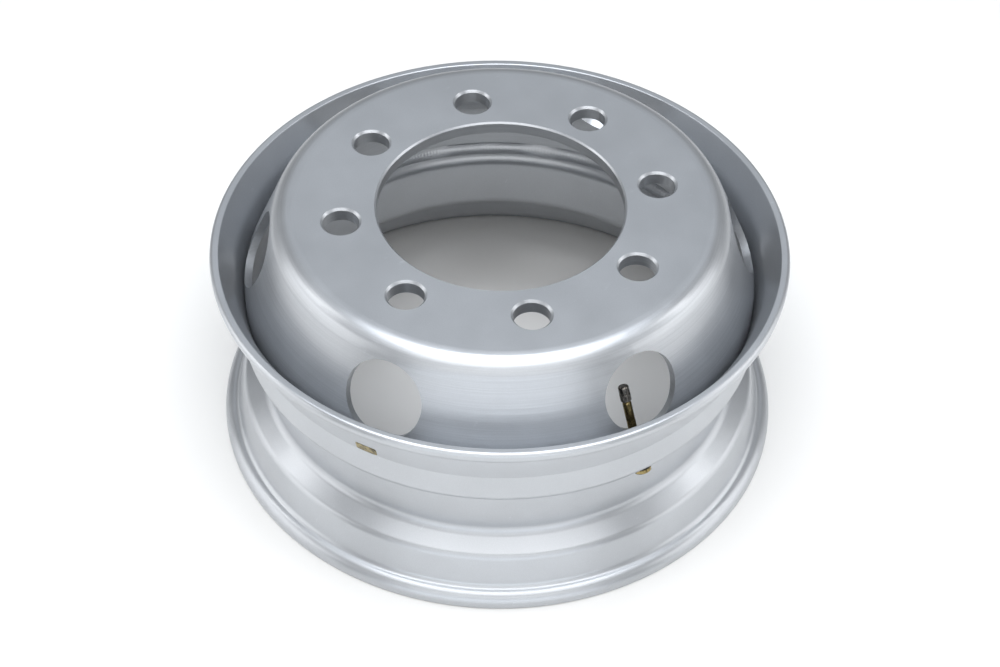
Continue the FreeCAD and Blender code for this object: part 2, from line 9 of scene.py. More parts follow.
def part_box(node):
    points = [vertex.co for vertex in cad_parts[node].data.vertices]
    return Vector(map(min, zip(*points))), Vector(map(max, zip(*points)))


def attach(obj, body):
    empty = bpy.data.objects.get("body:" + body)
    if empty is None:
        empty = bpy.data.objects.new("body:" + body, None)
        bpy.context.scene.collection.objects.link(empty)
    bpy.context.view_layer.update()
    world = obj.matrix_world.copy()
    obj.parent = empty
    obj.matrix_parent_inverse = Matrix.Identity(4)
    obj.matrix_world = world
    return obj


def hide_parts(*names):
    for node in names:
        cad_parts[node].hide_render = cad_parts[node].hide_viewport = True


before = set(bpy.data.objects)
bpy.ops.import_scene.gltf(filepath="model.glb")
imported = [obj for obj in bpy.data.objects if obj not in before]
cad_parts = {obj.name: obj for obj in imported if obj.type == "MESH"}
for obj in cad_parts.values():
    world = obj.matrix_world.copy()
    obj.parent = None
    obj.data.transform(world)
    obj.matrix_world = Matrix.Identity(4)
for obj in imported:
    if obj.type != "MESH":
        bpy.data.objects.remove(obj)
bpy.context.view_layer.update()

bl_info = {
    "name": "Steel disc wheel",
    "version": (1, 0, 0),
    "blender": (4, 5, 0),
    "location": "View3D > Sidebar > Wheel",
    "description": "Finishes a painted steel disc wheel with its weld and tyre valve, on a studio floor",
    "category": "Object",
}

MM = 0.001
FULL_TURN = 2 * math.pi
# Edges that turn by more than this stay sharp.
SHARP = math.radians(40)
# Points of a new mesh that lie closer than this become one.
MERGE = 0.002 * MM
# Sockets of a Mix node that mixes colours.
MIX_A, MIX_B, MIX_RESULT = 6, 7, 2


def linear(code):
    """Linear colour of an sRGB hex code."""
    channels = np.array([int(code[place:place + 2], 16) for place in (1, 3, 5)]) / 255
    low = channels / 12.92
    high = ((channels + 0.055) / 1.055) ** 2.4
    return tuple(np.where(channels <= 0.04045, low, high))


def middle(node):
    """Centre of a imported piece's box."""
    low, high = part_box(node)
    return (np.array(low) + np.array(high)) / 2


class WheelColours(bpy.types.PropertyGroup):
    """Colours of the wheel's finishes and of its floor."""

    enamel: bpy.props.FloatVectorProperty(
        name="Silver enamel", description="Paint of rim, disc and weld",
        subtype="COLOR", min=0, max=1, default=linear("#bbbec2"))
    brass: bpy.props.FloatVectorProperty(
        name="Brass", description="Turned pieces of the valve",
        subtype="COLOR", min=0, max=1, default=linear("#9a8a60"))
    tarnish: bpy.props.FloatVectorProperty(
        name="Tarnish", description="Dulled patches on the brass",
        subtype="COLOR", min=0, max=1, default=linear("#6b6040"))
    nickel: bpy.props.FloatVectorProperty(
        name="Black nickel", description="Plating of the valve's cap",
        subtype="COLOR", min=0, max=1, default=linear("#8c8780"))
    rubber: bpy.props.FloatVectorProperty(
        name="Rubber", description="Seal under the valve's foot and disc in its cap",
        subtype="COLOR", min=0, max=1, default=linear("#1d1d1d"))
    tag: bpy.props.FloatVectorProperty(
        name="Foil tag", description="Plain foil tag on the bead seat",
        subtype="COLOR", min=0, max=1, default=linear("#8f8463"))
    floor: bpy.props.FloatVectorProperty(
        name="Floor", description="White laminate under the wheel",
        subtype="COLOR", min=0, max=1, default=linear("#f5f4f2"))


class WheelSizes(bpy.types.PropertyGroup):
    """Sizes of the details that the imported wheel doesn't have."""

    lip_width: bpy.props.FloatProperty(
        name="Lip width", description="Top of the rim's upper lip, across", unit="LENGTH", default=7.9 * MM)
    flare_height: bpy.props.FloatProperty(
        name="Flare height", description="Where the inside of the rim starts to flare out to its upper lip",
        unit="LENGTH", default=180 * MM)
    ripple_pitch: bpy.props.FloatProperty(
        name="Weld ripple", description="From one ripple of the weld to the next",
        unit="LENGTH", default=3.2 * MM)
    ripple_height: bpy.props.FloatProperty(
        name="Ripple height", description="Height of a ripple of the weld",
        unit="LENGTH", default=0.08 * MM)
    bead_crown: bpy.props.FloatProperty(
        name="Weld crown", description="How far the weld's face bulges",
        unit="LENGTH", default=0.9 * MM)
    thread_pitch: bpy.props.FloatProperty(
        name="Thread pitch", description="Pitch of the valve's two threads",
        unit="LENGTH", default=0.9 * MM)
    thread_depth: bpy.props.FloatProperty(
        name="Thread depth", description="Depth of the valve's two threads",
        unit="LENGTH", default=0.42 * MM)
    cap_ribs: bpy.props.IntProperty(
        name="Cap ribs", description="Ribs round the lower half of the valve's cap",
        default=24, min=6, max=48)
    rib_depth: bpy.props.FloatProperty(
        name="Rib depth", description="Depth of the grooves between the cap's ribs",
        unit="LENGTH", default=0.22 * MM)
    tag_length: bpy.props.FloatProperty(
        name="Tag length", description="Foil tag along the rim", unit="LENGTH", default=20 * MM)
    tag_width: bpy.props.FloatProperty(
        name="Tag width", description="Foil tag across the rim", unit="LENGTH", default=10 * MM)
    tag_height: bpy.props.FloatProperty(
        name="Tag height", description="Lower edge of the foil tag above the floor",
        unit="LENGTH", default=150.5 * MM)
    tag_turn: bpy.props.FloatProperty(
        name="Tag place", description="Foil tag round the rim from the valve",
        subtype="ANGLE", default=math.radians(-61.3))


class StageSettings(bpy.types.PropertyGroup):
    """Camera and light."""

    camera_place: bpy.props.FloatVectorProperty(
        name="Camera place", description="Where the camera stands", subtype="XYZ", unit="LENGTH",
        default=(1.1894, -0.7971, 1.52655))
    camera_turn: bpy.props.FloatProperty(
        name="Camera turn", description="The camera's right-hand side from the X axis",
        subtype="ANGLE", default=math.radians(56.117))
    camera_dip: bpy.props.FloatProperty(
        name="Camera dip", description="How far the camera looks down",
        subtype="ANGLE", default=0.78964)
    camera_roll: bpy.props.FloatProperty(
        name="Camera roll", description="Turn of the picture", subtype="ANGLE", default=0.017864)
    lens: bpy.props.FloatProperty(
        name="Lens", description="Focal length on a frame 36 mm wide, in millimetres", default=78.015)
    overhead: bpy.props.FloatProperty(
        name="Overhead", description="Brightness of the softbox above the wheel", default=5)
    roof: bpy.props.FloatProperty(
        name="Roof", description="Brightness of the softbox above and in front of the wheel", default=2.2)
    key: bpy.props.FloatProperty(
        name="Key", description="Brightness of the softbox over the camera", default=1.5)
    front: bpy.props.FloatProperty(
        name="Front", description="Brightness of the low wall behind the camera", default=1.5)
    back: bpy.props.FloatProperty(
        name="Back", description="Brightness of the wall beyond the wheel", default=0.33)
    left: bpy.props.FloatProperty(
        name="Left", description="Brightness of the low softbox on the left", default=1.5)
    right: bpy.props.FloatProperty(
        name="Right", description="Brightness of the low softbox on the right", default=1.5)
    strips: bpy.props.FloatProperty(
        name="Strips", description="Brightness of the two narrow softboxes at the sides", default=4.5)
    room: bpy.props.FloatProperty(
        name="Room", description="Brightness of the pale room", default=0.3)


def add_node(tree, kind, inputs=None, **settings):
    """Adds a node with its own settings; inputs holds, by socket, a value or the socket that feeds it."""
    node = tree.nodes.new(kind)
    for name, value in settings.items():
        setattr(node, name, value)
    for socket, value in (inputs or {}).items():
        if isinstance(value, bpy.types.NodeSocket):
            tree.links.new(value, node.inputs[socket])
        else:
            node.inputs[socket].default_value = value
    return node


def new_material(name):
    """Empty material; returns it, its node tree and the coordinates fixed to the wheel."""
    material = bpy.data.materials.new(name)
    material.use_nodes = True
    tree = material.node_tree
    tree.nodes.clear()
    place = add_node(tree, "ShaderNodeTexCoord").outputs["Object"]
    return material, tree, place


def close_material(tree, shader):
    """Ends a material's nodes in its shader."""
    add_node(tree, "ShaderNodeOutputMaterial", {"Surface": shader.outputs["BSDF"]})


def shade(colour, factor):
    """RGBA of a colour made lighter or darker."""
    return (*(min(1.0, channel * factor) for channel in colour), 1.0)


def silver_enamel(name, colour, spun):
    """Sprayed and stoved enamel full of aluminium flake, over steel.

    The flake gives a broad soft sheen that varies a little from place to place, the resin on top gives small
    hard highlights, and the film has a faint orange peel. On the pressed disc, the rings that the tool leaves
    in the steel show through the paint: level lines about 1 mm apart and up to 150 mm long. Stacking and
    handling leave a few paler, duller rubs, some 25 mm long.
    """
    material, tree, place = new_material(name)
    # Flakes are some 0.03 mm across; they are drawn as 0.9 mm clusters so that they show.
    flake = add_node(tree, "ShaderNodeTexNoise", {"Vector": place, "Scale": 1 / (0.9 * MM), "Detail": 2.0})
    cloud = add_node(tree, "ShaderNodeTexNoise", {"Vector": place, "Scale": 1 / (45 * MM), "Detail": 3.0})
    mottle = add_node(tree, "ShaderNodeMath", {
        0: flake.outputs["Fac"], 1: cloud.outputs["Fac"]}, operation="ADD")
    tone = add_node(tree, "ShaderNodeMapRange", {
        "Value": mottle.outputs["Value"], "From Min": 0.7, "From Max": 1.3})
    paint = add_node(tree, "ShaderNodeMix", {
        "Factor": tone.outputs["Result"],
        MIX_A: shade(colour, 0.95), MIX_B: shade(colour, 1.05)}, data_type="RGBA")

    # Rubs all lie one way, 9 mm wide and 26 mm long.
    smear = add_node(tree, "ShaderNodeMapping", {
        "Vector": place, "Rotation": (0, 0, math.radians(35)),
        "Scale": (1 / (9 * MM), 1 / (26 * MM), 1 / (20 * MM))})
    rub = add_node(tree, "ShaderNodeTexNoise", {
        "Vector": smear.outputs["Vector"], "Scale": 1.0, "Detail": 5.0, "Roughness": 0.7})
    rubbed = add_node(tree, "ShaderNodeMapRange", {
        "Value": rub.outputs["Fac"], "From Min": 0.66, "From Max": 0.8, "To Max": 0.6})
    paint = add_node(tree, "ShaderNodeMix", {
        "Factor": rubbed.outputs["Result"],
        MIX_A: paint.outputs[MIX_RESULT], MIX_B: shade(colour, 1.45)}, data_type="RGBA")
    satin = add_node(tree, "ShaderNodeMapRange", {
        "Value": cloud.outputs["Fac"], "From Min": 0.3, "From Max": 0.7, "To Min": 0.33, "To Max": 0.38})
    gloss = add_node(tree, "ShaderNodeMath", {
        0: rubbed.outputs["Result"], 1: 0.2, 2: satin.outputs["Result"]}, operation="MULTIPLY_ADD")

    peel = add_node(tree, "ShaderNodeTexNoise", {"Vector": place, "Scale": 1 / (2.2 * MM), "Detail": 1.0})
    bump = add_node(tree, "ShaderNodeBump", {
        "Height": peel.outputs["Fac"], "Strength": 0.12, "Distance": 0.05 * MM})
    if spun:
        stretch = add_node(tree, "ShaderNodeMapping", {
            "Vector": place, "Scale": (1 / (150 * MM), 1 / (150 * MM), 1 / (1.1 * MM))})
        rings = add_node(tree, "ShaderNodeTexNoise", {
            "Vector": stretch.outputs["Vector"], "Scale": 1.0, "Detail": 3.0, "Roughness": 0.6})
        bump = add_node(tree, "ShaderNodeBump", {
            "Height": rings.outputs["Fac"], "Strength": 0.9, "Distance": 0.12 * MM,
            "Normal": bump.outputs["Normal"]})
        line = add_node(tree, "ShaderNodeMapRange", {
            "Value": rings.outputs["Fac"], "From Min": 0.4, "From Max": 0.7, "To Max": 0.5})
        paint = add_node(tree, "ShaderNodeMix", {
            "Factor": line.outputs["Result"],
            MIX_A: paint.outputs[MIX_RESULT], MIX_B: shade(colour, 0.8)}, data_type="RGBA")
    shader = add_node(tree, "ShaderNodeBsdfPrincipled", {
        "Base Color": paint.outputs[MIX_RESULT], "Roughness": gloss.outputs["Value"], "Metallic": 0.85,
        "Coat Weight": 0.2, "Coat Roughness": 0.08, "Normal": bump.outputs["Normal"]})
    close_material(tree, shader)
    return material


def turned_brass(name, bright, dull):
    """Brass turned on a lathe and left bare: warm, with tool rings and brown dulled patches."""
    material, tree, place = new_material(name)
    patches = add_node(tree, "ShaderNodeTexNoise", {"Vector": place, "Scale": 1 / (5 * MM), "Detail": 4.0})
    dulled = add_node(tree, "ShaderNodeMapRange", {
        "Value": patches.outputs["Fac"], "From Min": 0.42, "From Max": 0.62})
    metal = add_node(tree, "ShaderNodeMix", {
        "Factor": dulled.outputs["Result"], MIX_A: shade(bright, 1), MIX_B: shade(dull, 1)}, data_type="RGBA")
    gloss = add_node(tree, "ShaderNodeMapRange", {
        "Value": dulled.outputs["Result"], "To Min": 0.2, "To Max": 0.42})
    origin, _, _, along = valve_frame()
    # Tool rings lie square to the valve, 0.4 mm apart.
    upright = add_node(tree, "ShaderNodeVectorRotate", {
        "Vector": place, "Center": tuple(origin), "Axis": (0, 1, 0),
        "Angle": math.atan2(-along[0], along[2])}, rotation_type="AXIS_ANGLE")
    stretch = add_node(tree, "ShaderNodeMapping", {
        "Vector": upright.outputs["Vector"], "Scale": (1 / (30 * MM), 1 / (30 * MM), 1 / (0.4 * MM))})
    rings = add_node(tree, "ShaderNodeTexNoise", {
        "Vector": stretch.outputs["Vector"], "Scale": 1.0, "Detail": 2.0})
    bump = add_node(tree, "ShaderNodeBump", {
        "Height": rings.outputs["Fac"], "Strength": 0.25, "Distance": 0.03 * MM})
    shader = add_node(tree, "ShaderNodeBsdfPrincipled", {
        "Base Color": metal.outputs[MIX_RESULT], "Roughness": gloss.outputs["Result"], "Metallic": 1.0,
        "Normal": bump.outputs["Normal"]})
    close_material(tree, shader)
    return material


def black_nickel(name, colour):
    """Black nickel plate on brass: a dark mirror with faint handling marks."""
    material, tree, place = new_material(name)
    marks = add_node(tree, "ShaderNodeTexNoise", {"Vector": place, "Scale": 1 / (1.5 * MM), "Detail": 4.0})
    gloss = add_node(tree, "ShaderNodeMapRange", {
        "Value": marks.outputs["Fac"], "From Min": 0.35, "From Max": 0.7, "To Min": 0.07, "To Max": 0.2})
    plate = add_node(tree, "ShaderNodeMix", {
        "Factor": marks.outputs["Fac"],
        MIX_A: shade(colour, 0.85), MIX_B: shade(colour, 1.15)}, data_type="RGBA")
    shader = add_node(tree, "ShaderNodeBsdfPrincipled", {
        "Base Color": plate.outputs[MIX_RESULT], "Roughness": gloss.outputs["Result"], "Metallic": 1.0})
    close_material(tree, shader)
    return material


def moulded_rubber(name, colour):
    """Moulded black rubber: matt, with a fine grain and a grey bloom."""
    material, tree, place = new_material(name)
    grain = add_node(tree, "ShaderNodeTexNoise", {"Vector": place, "Scale": 1 / (0.5 * MM), "Detail": 3.0})
    bloom = add_node(tree, "ShaderNodeTexNoise", {"Vector": place, "Scale": 1 / (6 * MM), "Detail": 2.0})
    rubber = add_node(tree, "ShaderNodeMix", {
        "Factor": bloom.outputs["Fac"],
        MIX_A: shade(colour, 0.8), MIX_B: shade(colour, 1.8)}, data_type="RGBA")
    bump = add_node(tree, "ShaderNodeBump", {
        "Height": grain.outputs["Fac"], "Strength": 0.3, "Distance": 0.05 * MM})
    shader = add_node(tree, "ShaderNodeBsdfPrincipled", {
        "Base Color": rubber.outputs[MIX_RESULT], "Roughness": 0.75, "Normal": bump.outputs["Normal"]})
    close_material(tree, shader)
    return material


def foil_tag(name, colour):
    """Lacquered gold-brown foil stuck to the paint, with shallow wrinkles: painted shade in their hollows,
    painted highlight on their crests.
    """
    material, tree, place = new_material(name)
    wrinkle = add_node(tree, "ShaderNodeTexNoise", {"Vector": place, "Scale": 1 / (4 * MM), "Detail": 3.0})
    # The colour follows the wrinkles' height: painted shade in their hollows, painted highlight on their
    # crests.
    wrinkle_light = add_node(tree, "ShaderNodeMapRange", {
        "Value": wrinkle.outputs["Fac"], "From Min": 0.35, "From Max": 0.65})
    foil = add_node(tree, "ShaderNodeMix", {
        "Factor": wrinkle_light.outputs["Result"],
        MIX_A: shade(colour, 0.35), MIX_B: shade(colour, 1.5)}, data_type="RGBA")
    bump = add_node(tree, "ShaderNodeBump", {
        "Height": wrinkle.outputs["Fac"], "Strength": 0.5, "Distance": 0.15 * MM})
    shader = add_node(tree, "ShaderNodeBsdfPrincipled", {
        "Base Color": foil.outputs[MIX_RESULT], "Roughness": 0.4, "Metallic": 0.7,
        "Normal": bump.outputs["Normal"]})
    close_material(tree, shader)
    return material


def white_laminate(name, colour):
    """Satin white laminate board: pale, even and smooth enough to mirror the foot of what stands on it."""
    material, tree, place = new_material(name)
    haze = add_node(tree, "ShaderNodeTexNoise", {"Vector": place, "Scale": 1 / (120 * MM), "Detail": 2.0})
    gloss = add_node(tree, "ShaderNodeMapRange", {
        "Value": haze.outputs["Fac"], "From Min": 0.3, "From Max": 0.7, "To Min": 0.15, "To Max": 0.2})
    shader = add_node(tree, "ShaderNodeBsdfPrincipled", {
        "Base Color": shade(colour, 1), "Roughness": gloss.outputs["Result"]})
    close_material(tree, shader)
    return material


def finish_material(maker, name, *values):
    """The finish of that name, made once."""
    return bpy.data.materials.get(name) or maker(name, *values)


def rolled_enamel():
    """Paint on the rim and the weld."""
    colours = bpy.context.scene.wheel_colours
    return finish_material(silver_enamel, "silver_enamel_on_rolled_steel", colours.enamel, False)


def pressed_enamel():
    """Paint on the disc."""
    colours = bpy.context.scene.wheel_colours
    return finish_material(silver_enamel, "silver_enamel_on_pressed_steel", colours.enamel, True)


def wheel_brass():
    """Brass of the valve's turned pieces."""
    colours = bpy.context.scene.wheel_colours
    return finish_material(turned_brass, "turned_brass", colours.brass, colours.tarnish)


def grid_quads(rows, columns, wrap_rows=False, wrap_columns=False):
    """Corner numbers of each cell in a grid of points; a wrapped direction joins its end to its start."""
    numbers = np.arange(rows * columns).reshape(rows, columns)
    if wrap_rows:
        numbers = np.vstack([numbers, numbers[:1]])
    if wrap_columns:
        numbers = np.hstack([numbers, numbers[:, :1]])
    corners = [numbers[:-1, :-1], numbers[:-1, 1:], numbers[1:, 1:], numbers[1:, :-1]]
    return np.stack(corners, axis=-1).reshape(-1, 4)


def rounded(corners, radii, steps=6, closed=True, share=0.49):
    """Section line through corners, each rounded by an arc of its radius.

    The arc is the rational quadratic curve from tangent point to tangent point whose middle weight is the
    cosine of half the turn, which is an exact circle. It takes up no more than its share of a side.
    """
    back = np.roll(corners, 1, axis=0) - corners
    ahead = np.roll(corners, -1, axis=0) - corners
    if not closed:
        back[0] = -ahead[0]
        ahead[-1] = -back[-1]
    back_length = np.linalg.norm(back, axis=1, keepdims=True)
    ahead_length = np.linalg.norm(ahead, axis=1, keepdims=True)
    back = back / back_length
    ahead = ahead / ahead_length
    half_turn = (math.pi - np.arccos(np.clip(np.sum(back * ahead, axis=1), -1, 1))) / 2
    room = share * np.minimum(back_length, ahead_length)[:, 0]
    cut = np.minimum(radii * np.tan(half_turn), room)
    start = corners + back * cut[:, None]
    end = corners + ahead * cut[:, None]
    t = np.linspace(0, 1, steps)[None, :, None]
    weight = np.cos(half_turn)[:, None, None]
    parts = (1 - t) ** 2, 2 * weight * t * (1 - t), t ** 2
    curve = parts[0] * start[:, None] + parts[1] * corners[:, None] + parts[2] * end[:, None]
    return (curve / sum(parts)).reshape(-1, 2)


def lengths(line):
    """Length along a line from its start to each of its points."""
    return np.concatenate([[0], np.cumsum(np.linalg.norm(np.diff(line, axis=0), axis=1))])


def resampled(line, extra):
    """The line's own points and more points at the extra lengths along it."""
    length = lengths(line)
    stations = np.unique(np.round(np.concatenate([length, extra]), 9))
    return np.stack([np.interp(stations, length, line[:, side]) for side in (0, 1)], axis=1)


def spread(section, count):
    """Radius, height and turn of a section's points at each of a number of even turns."""
    radius = np.repeat(section[:, :1], count, axis=1)
    height = np.repeat(section[:, 1:], count, axis=1)
    turn = np.linspace(0, FULL_TURN, count, endpoint=False)
    return radius, height, np.broadcast_to(turn, radius.shape)


def on_wheel(radius, turn, height):
    """Points at a radius, a turn and a height on the wheel's axis."""
    return np.stack(np.broadcast_arrays(radius * np.cos(turn), radius * np.sin(turn), height), axis=-1)


def valve_frame():
    """Middle of the washer, and the valve's own three axes, the last along the valve to its cap."""
    origin = middle("valve_washer")
    along = middle("cap_gasket") - origin
    along = along / np.linalg.norm(along)
    side = np.array((0.0, 1.0, 0.0))
    across = np.cross(side, along)
    return origin, across, side, along


def on_valve(radius, turn, height):
    """Points at a radius, a turn and a height on the valve's axis, from the washer's middle."""
    origin, across, side, along = valve_frame()
    ray = np.cos(turn)[..., None] * across + np.sin(turn)[..., None] * side
    return origin + radius[..., None] * ray + height[..., None] * along


def new_mesh(name, points, quads):
    """Smooth mesh of a grid; equal points are merged, which closes its seams and poles."""
    mesh = bpy.data.meshes.new(name)
    mesh.vertices.add(len(points))
    mesh.vertices.foreach_set("co", np.ascontiguousarray(points, dtype=np.float32).ravel())
    mesh.loops.add(quads.size)
    mesh.loops.foreach_set("vertex_index", quads.astype(np.int32).ravel())
    mesh.polygons.add(len(quads))
    mesh.polygons.foreach_set("loop_start", np.arange(0, quads.size, 4, dtype=np.int32))
    mesh.update(calc_edges=True)
    shell = bmesh.new()
    shell.from_mesh(mesh)
    bmesh.ops.remove_doubles(shell, verts=shell.verts, dist=MERGE)
    bmesh.ops.recalc_face_normals(shell, faces=shell.faces)
    shell.to_mesh(mesh)
    shell.free()
    mesh.shade_smooth()
    mesh.set_sharp_from_angle(angle=SHARP)
    return mesh


def new_piece(name, points, quads, material):
    """Object of one mesh at the origin, which rides on the wheel."""
    mesh = new_mesh(name, points, quads)
    mesh.materials.append(material)
    piece = bpy.data.objects.new(name, mesh)
    bpy.context.scene.collection.objects.link(piece)
    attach(piece, "root")
    return piece


def dress_node(node, material):
    """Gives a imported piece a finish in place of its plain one."""
    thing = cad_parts[node]
    thing.data.materials.clear()
    thing.data.materials.append(material)


# Rim's section on the tyre side, from the floor up: radius, height and radius of the bend, in millimetres.
TYRE_SIDE = np.array([
    (260.35, 0, 2.3), (260.35, 12.597, 11), (247.65, 16, 6), (239.612, 46, 9), (219, 57.9, 10),
    (219, 110.477, 10), (237.5, 119.5, 9), (237.5, 149.57, 0.5), (247.65, 187.45, 6), (260.35, 190.853, 11),
    (260.35, 203.45, 4),
])
UPPER_HEEL = TYRE_SIDE[-3, :2] * MM
SEAT_SLOPE = math.radians(15)
RIM_WALL = 5.5
TIGHTEST_BEND = 1
# Bends at the lip's inner edge and where the flare starts.
FLARE_BENDS = (1.5, 40)
RIM_TURNS = 400
# Points in each bend of the rim's section, and how far the next point lies from a bend, in millimetres.
BEND_STEPS = 8
NEXT_POINT = 0.6
# The flat that carries the valve, along the valve from its washer's middle, in millimetres.
FLAT = -5.95
# Plug that drills the rim for the valve: radius and height on the valve's axis, in millimetres.
VALVE_PLUG = np.array([(0, -20), (8.75, -20), (8.75, FLAT), (4.85, FLAT), (4.85, 10), (0, 10)])
PLUG_TURNS = 64


def rim_points(sizes):
    """Rolled rim: a closed section turned about the wheel's axis.

    The inside line is the tyre side moved one wall towards the axis, square to the lines that meet at each
    corner. A bend to the left loses one wall of radius there, and a bend to the right gains one. Above the
    flare height, the inside runs straight out to the upper lip.
    """
    outside = TYRE_SIDE[:, :2]
    outside_bends = TYRE_SIDE[:, 2]
    sides = np.diff(outside, axis=0)
    sides = sides / np.linalg.norm(sides, axis=1, keepdims=True)
    square = np.stack([-sides[:, 1], sides[:, 0]], axis=1)
    before = np.vstack([square[:1], square])
    after = np.vstack([square, square[-1:]])
    shift = (before + after) / (1 + np.sum(before * after, axis=1, keepdims=True))
    inside = outside + RIM_WALL * shift
    left = before[:, 0] * after[:, 1] - before[:, 1] * after[:, 0]
    inside_bends = np.maximum(TIGHTEST_BEND, outside_bends - RIM_WALL * np.sign(left))
    # The upper flange's three inside corners give way to the flare's two.
    ledge = inside[-4]
    seat = sides[-3]
    flare = ledge + seat * (sizes.flare_height / MM - ledge[1]) / seat[1]
    lip = outside[-1] - (sizes.lip_width / MM, 0)
    corners = np.vstack([outside, lip, flare, inside[-4::-1]]) * MM
    bends = np.concatenate([outside_bends, FLARE_BENDS, inside_bends[-4::-1]]) * MM

    line = rounded(corners, bends, steps=BEND_STEPS, share=0.7)
    line = np.vstack([line, line[:1]])
    length = lengths(line)
    # A point next to each bend keeps the straight runs between bends straight to the eye.
    after_bend = length[BEND_STEPS - 1:-1:BEND_STEPS] + NEXT_POINT * MM
    before_bend = length[BEND_STEPS::BEND_STEPS] - NEXT_POINT * MM
    section = resampled(line, np.concatenate([after_bend, before_bend]))[:-1]
    radius, height, turn = spread(section, RIM_TURNS)
    points = on_wheel(radius, turn, height)
    return points.reshape(-1, 3), grid_quads(len(section), RIM_TURNS, wrap_rows=True, wrap_columns=True)


def valve_hole_points():
    """Space that the valve takes out of the rim: a stepped plug turned about the valve's axis.

    The wide step ends on the flat that carries the rubber seal, and the narrow one goes through the wall.
    """
    radius, height, turn = spread(VALVE_PLUG * MM, PLUG_TURNS)
    points = on_valve(radius, turn, height)
    return points.reshape(-1, 3), grid_quads(*radius.shape, wrap_columns=True)


class WHEEL_OT_roll_rim(bpy.types.Operator):
    """Roll the rim and drill it for the valve"""

    bl_idname = "wheel.roll_rim"
    bl_label = "Roll rim"

    def execute(self, context):
        points, quads = rim_points(context.scene.wheel_sizes)
        rim = new_piece("rolled_rim", points, quads, rolled_enamel())
        drill = bpy.data.objects.new("valve_drill", new_mesh("valve_drill", *valve_hole_points()))
        context.scene.collection.objects.link(drill)
        hole = rim.modifiers.new("valve_hole", "BOOLEAN")
        hole.operation = "DIFFERENCE"
        hole.solver = "EXACT"
        hole.object = drill
        drilled = bpy.data.meshes.new_from_object(rim.evaluated_get(context.evaluated_depsgraph_get()))
        if len(drilled.vertices) <= len(rim.data.vertices):
            raise RuntimeError("the valve's hole wasn't drilled")
        rim.modifiers.clear()
        rim.data = drilled
        drilled.set_sharp_from_angle(angle=SHARP)
        bpy.data.objects.remove(drill)
        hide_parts("rim")
        return {"FINISHED"}


class WHEEL_OT_press_disc(bpy.types.Operator):
    """Paint the pressed disc"""

    bl_idname = "wheel.press_disc"
    bl_label = "Press disc"

    def execute(self, context):
        dress_node("wheel_disc", pressed_enamel())
        return {"FINISHED"}


# Wall of the disc's skirt, width of the weld's foot, half of its gap at the valve and length of its ends.
SKIRT_WALL = 6.5 * MM
WELD_FOOT = 6 * MM
WELD_HALF_GAP = 14 * MM
WELD_END = 3 * MM
FLANK_SLOPE = math.radians(26)
# Points along the weld, and points across its open side.
WELD_STATIONS = 1700
WELD_ACROSS = 13
# A point lies on the open side if their cross product is less than this, in square metres.
ON_LINE = 1e-9
# How far a ripple lags at the bead's edges, as an angle of its wave.
RIPPLE_LAG = 2.4
# Slow waves in the bead's crown: share of the crown, and length of one radian of the wave.
CROWN_WAVES = ((0.25, 21 * MM), (0.2, 8.3 * MM))


def weld_points(sizes):
    """Weld bead: its section carried round the wheel from one end of its gap to the other.

    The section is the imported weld's four corners. Its open side bulges by a crown that is greatest half way,
    and by ripples: a cosine of the length round the wheel, set back towards the two edges so that each ripple
    is a crescent. Over its last few millimetres the section shrinks to a point.
    """
    low, high = (np.array(corner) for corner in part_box("disc_weld"))
    root = -low[0]
    top = high[2]
    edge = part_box("wheel_disc")[1][1] - SKIRT_WALL
    toe = edge - WELD_FOOT
    root_foot = low[2] + (root - toe) * math.tan(FLANK_SLOPE)
    corners = np.array([(root, root_foot), (root, top), (edge, top), (toe, low[2])])
    line = np.vstack([corners, corners[:1]])
    open_side = corners[3] - corners[2]
    open_length = np.linalg.norm(open_side)
    before = lengths(line)[2]
    section = resampled(line, before + open_length * np.linspace(0, 1, WELD_ACROSS)[1:-1])[:-1]
    reach = section - corners[2]
    share = np.clip(np.linalg.norm(reach, axis=1) / open_length, 0, 1)
    is_open = np.abs(reach[:, 0] * open_side[1] - reach[:, 1] * open_side[0]) < ON_LINE
    hump = np.where(is_open, 4 * share * (1 - share), 0)
    outward = np.array([open_side[1], -open_side[0]]) / open_length

    half_gap = math.asin(WELD_HALF_GAP / toe)
    turn = np.linspace(half_gap, FULL_TURN - half_gap, WELD_STATIONS)
    length = (turn - turn[0]) * toe
    wave = FULL_TURN * length / sizes.ripple_pitch
    lag = RIPPLE_LAG * (2 * share - 1) ** 2
    drift = sum(part * np.sin(length / run) for part, run in CROWN_WAVES)
    rise = hump[:, None] * (sizes.bead_crown * (1 + drift[None, :])
                            + sizes.ripple_height * np.cos(wave[None, :] + lag[:, None]))
    radius = section[:, 0, None] + outward[0] * rise
    height = section[:, 1, None] + outward[1] * rise
    end = np.minimum(length, length[-1] - length) / WELD_END
    taper = np.sqrt(np.clip(end * (2 - end), 0, 1)) * (end < 1) + (end >= 1)
    heart = corners.mean(axis=0)
    radius = heart[0] + (radius - heart[0]) * taper
    height = heart[1] + (height - heart[1]) * taper
    points = on_wheel(radius, turn, height)
    return points.reshape(-1, 3), grid_quads(len(section), WELD_STATIONS, wrap_rows=True)


class WHEEL_OT_lay_weld(bpy.types.Operator):
    """Lay the weld between disc and rim"""

    bl_idname = "wheel.lay_weld"
    bl_label = "Lay weld"

    def execute(self, context):
        points, quads = weld_points(context.scene.wheel_sizes)
        weld = new_piece("weld_bead", points, quads, rolled_enamel())
        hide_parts("disc_weld")
        return {"FINISHED"}


